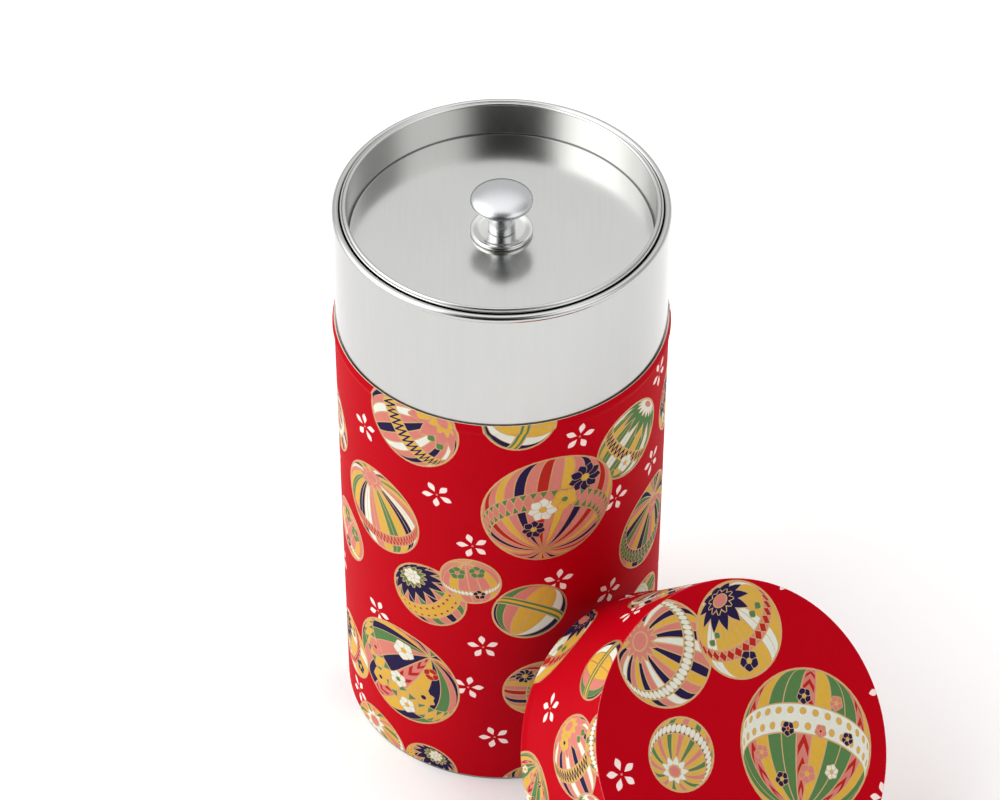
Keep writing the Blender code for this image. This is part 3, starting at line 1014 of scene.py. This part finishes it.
# Metals: colour, roughness and its spread, grain in cycles per metre and how it stretches, and bump.
tinplate = metal("tinplate", (0.55, 0.553, 0.54), 0.15, 0.04, 900.0, UPRIGHT_GRAIN, 0.15)
# The base seam's tin is painted dark: painted shade for the shadowed floor that the seam reflects.
seam_tin_painted_shade = metal("seam_tin_painted_shade", (0.30, 0.30, 0.29), 0.30, 0.06, 900.0, UPRIGHT_GRAIN, 0.15)
bright_tin = metal("bright_tin", (0.68, 0.68, 0.66), 0.10, 0.04, 900.0, EVEN_GRAIN, 0.1)
aluminium = metal("aluminium", (0.61, 0.62, 0.635), 0.26, 0.08, 2600.0, EVEN_GRAIN, 0.5)
paper = printed_paper()

upright = Matrix.Identity(4)
cap_axes = cap_matrix()

# Can: base, tin, paper and neck.
base_low, base_high, _, base_reach = node_span("base_plate", upright)
seam_inner = base_reach - BASE_SEAM_WIDTH
outline = [(0.0, base_low), (base_reach, base_low), (base_reach, base_high), (seam_inner, base_high),
           (seam_inner - BASE_SEAM_SLOPE, base_low + BASE_PLATE), (0.0, base_low + BASE_PLATE)]
# The base's seam carries painted shade in its dark tin.
base = turn_outline("base", rounded(outline, BASE_ROUND), SEGMENTS, upright, seam_tin_painted_shade, "can")
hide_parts("base_plate")

tin_low, tin_high, tin_inner, _ = node_span("body_tin", upright)
outline = [(tin_inner, tin_low), (tin_inner + TIN_WALL, tin_low)]
outline += reversed(bead_side(tin_inner + TIN_WALL, tin_high, -1, 2))
outline += [(tin_inner, tin_high - BEAD_HEIGHT / 6)]
tin = turn_outline("body_shell", outline, SEGMENTS, upright, tinplate, "can")
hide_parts("body_tin")

neck_low, neck_high, _, neck_reach = node_span("neck_sleeve", upright)
paper_low, paper_high, paper_inner, _ = node_span("body_paper", upright)
curl = (neck_reach - CURL_RADIUS, neck_high - CURL_RADIUS)
neck_top = neck_reach - NECK_STEP
outline = [(neck_reach - NECK_WALL, neck_low), (neck_reach, neck_low), (neck_reach, paper_high)]
curl_start = -math.degrees(math.acos((neck_top - curl[0]) / CURL_RADIUS))
outline += arc(curl, CURL_RADIUS, curl_start, CURL_END, CURL_STEPS)
outline += [(neck_top - NECK_WALL, curl[1] - 1.25 * CURL_RADIUS), (neck_reach - NECK_WALL, paper_high)]
neck = turn_outline("neck", outline, SEGMENTS, upright, tinplate, "can")
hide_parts("neck_sleeve")

paper_radius = paper_inner + PAPER
sheet = band_sheet(BODY_BLOSSOMS, BODY_BALLS, paper_radius, 0)
bead_levels = [paper_high - BEAD_HEIGHT * step / BEAD_STEPS for step in range(BEAD_STEPS, 0, -1)]
front_first = Matrix.Rotation(math.radians(-90), 4, "Z")
body_wrap = wrap_sheet("body_wrap", sheet, paper_radius, lambda height: bead(paper_high - height),
                       paper_low, paper_high, bead_levels, front_first, paper)
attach(body_wrap, "can")
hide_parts("body_paper")

# Inner lid: pan, collar and knob.
pan_low, pan_high, _, _ = node_span("lid_pan", upright)
disc_z = pan_low + LID_SHEET
# The pan's tin carries painted shade along its crease.
satin_tin = metal("satin_tin", (0.60, 0.60, 0.585), 0.20, 0.04, 1400.0, LENGTHWISE_GRAIN, 0.2,
                  (LID_DISC_RADIUS - CREASE_INSET, disc_z + CREASE_INSET))
crease = LID_DISC_RADIUS - LID_CORNER
lip = (LID_DISC_RADIUS + LID_WALL_LEAN + LID_LIP, pan_high - LID_LIP - LID_LIP_DROP)
hem = (neck_reach - 2 * CURL_RADIUS - SEAT_GAP / 4 - LID_HEM, pan_high - LID_HEM - LID_HEM_DROP)
outline = [(LID_HOLE, disc_z), (LID_HOLE + SUPPORT_RING, disc_z)]
outline += [(crease - SUPPORT_RING, disc_z), (crease, disc_z)]
outline += arc((crease, disc_z + LID_CORNER), LID_CORNER, -75, -5, 5)
wall_foot, wall_head = Vector(outline[-1]), Vector((lip[0] - LID_LIP, lip[1] - 0.1 * MM))
outline += [tuple(wall_foot.lerp(wall_head, share)) for share in (0.015, 0.5, 0.985)]
outline += arc(lip, LID_LIP, 180, 10, 12)
outline += [(0.5 * (lip[0] + LID_LIP + hem[0] - LID_HEM), lip[1] - 0.12 * MM)]
outline += arc(hem, LID_HEM, 165, -90, 14)
outline += [(lip[0] + LID_LIP - 0.05 * MM, lip[1] - 0.5 * MM)]
outline += [(lip[0] - LID_LIP + LID_SHEET, lip[1] - 0.7 * MM)]
outline += [(LID_DISC_RADIUS + LID_SHEET, disc_z + LID_CORNER), (LID_DISC_RADIUS, disc_z - LID_SHEET)]
outline += [(LID_HOLE, disc_z - LID_SHEET)]
pan = turn_outline("inner_lid_pan", outline, SEGMENTS, upright, satin_tin, "inner_lid")
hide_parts("lid_pan")

collar_low, collar_high, _, collar_reach = node_span("knob_collar", upright)
floor_z = collar_low + COLLAR_FLOOR
outline = [(LID_HOLE, collar_low), (collar_reach, collar_low), (collar_reach, collar_high),
           (collar_reach - COLLAR_LIP, collar_high), (collar_reach - COLLAR_DISH, floor_z),
           (LID_HOLE, floor_z)]
collar = turn_outline("collar", rounded(outline, COLLAR_ROUND, 6), KNOB_SEGMENTS, upright, bright_tin,
                      "inner_lid")
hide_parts("knob_collar")

knob_low, knob_high, _, knob_reach = node_span("lid_knob", upright)
head_z = knob_high - DOME_RISE
rivet_top = knob_low + RIVET_HEIGHT
stem_foot = collar_low + COLLAR_FLOOR + SEAT_GAP
under = head_z - HEAD_EDGE
outline = [(0.0, knob_low)]
outline += arc((RIVET_RADIUS - RIVET_ROUND, knob_low + RIVET_ROUND), RIVET_ROUND, -90, 0, 4)
outline += [(RIVET_RADIUS - RIVET_SLOPE, rivet_top), (TAIL_RADIUS, rivet_top), (TAIL_RADIUS, stem_foot)]
outline += [(STEM_RADIUS - STEM_BEVEL, stem_foot), (STEM_RADIUS, stem_foot + STEM_BEVEL)]
outline += [(STEM_RADIUS, under - STEM_FILLET)]
outline += arc((STEM_RADIUS + STEM_FILLET, under - STEM_FILLET), STEM_FILLET, 180, 90, 8)[1:]
outline += [(knob_reach - 0.8 * MM, under + 0.2 * MM), (knob_reach - 0.3 * MM, under + 0.38 * MM)]
outline += [(knob_reach - 0.08 * MM, head_z - 0.25 * MM), (knob_reach, head_z)]
for step in range(1, DOME_STEPS):
    angle = math.pi / 2 * step / DOME_STEPS
    outline.append((knob_reach * math.cos(angle), head_z + DOME_RISE * math.sin(angle)))
outline.append((0.0, knob_high))
knob = turn_outline("knob", outline, KNOB_SEGMENTS, upright, aluminium, "inner_lid")
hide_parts("lid_knob")

# Cap: tins and papers, in the cap's own axes.
_, skirt_high, skirt_inner, _ = node_span("cap_skirt", cap_axes)
cap_outer = skirt_inner + TIN_WALL
outline = [(skirt_inner, 0.0)] + bead_side(cap_outer, 0.0, 1)
outline += [(cap_outer, skirt_high), (skirt_inner, skirt_high)]
skirt = turn_outline("cap_shell", outline, SEGMENTS, cap_axes, tinplate, "cap")
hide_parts("cap_skirt")

_, end_high, _, end_reach = node_span("cap_top", cap_axes)
end_under = end_high - CAP_TOP_SHEET
lap = skirt_inner - SEAT_GAP
lap_low = end_under - CAP_TOP_LAP
outline = [(0.0, end_under), (lap - CAP_TOP_SHEET, end_under), (lap - CAP_TOP_SHEET, lap_low)]
outline += [(lap, lap_low), (lap, end_under), (end_reach, end_under)]
outline += [(end_reach, end_high - CAP_TOP_BEVEL), (end_reach - CAP_TOP_BEVEL, end_high)]
outline += [(0.0, end_high)]
end = turn_outline("cap_end", outline, SEGMENTS, cap_axes, tinplate, "cap")
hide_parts("cap_top")

side_low, side_high, side_inner, _ = node_span("cap_side_paper", cap_axes)
side_radius = side_inner + PAPER
sheet = band_sheet(CAP_SIDE_BLOSSOMS, CAP_SIDE_BALLS, side_radius, CAP_SHEET_MIDDLE)
rim_levels = [BEAD_HEIGHT * step / BEAD_STEPS for step in range(1, BEAD_STEPS + 1)]
rim_levels = [level for level in rim_levels if level > side_low + 0.05 * MM]
side_wrap = wrap_sheet("cap_side_wrap", sheet, side_radius, bead, side_low, side_high, rim_levels,
                       cap_axes @ Matrix.Rotation(math.radians(CAP_SHEET_MIDDLE), 4, "Z"), paper)
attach(side_wrap, "cap")
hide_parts("cap_side_paper")

disc_low, disc_high, _, disc_reach = node_span("cap_top_paper", cap_axes)
sheet = print_sheet(CAP_TOP_BLOSSOMS, CAP_TOP_BALLS, lambda x, y: (x, y))
disc = disc_sheet("cap_end_paper", sheet, disc_reach, disc_low, disc_high, cap_axes, paper)
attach(disc, "cap")
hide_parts("cap_top_paper")
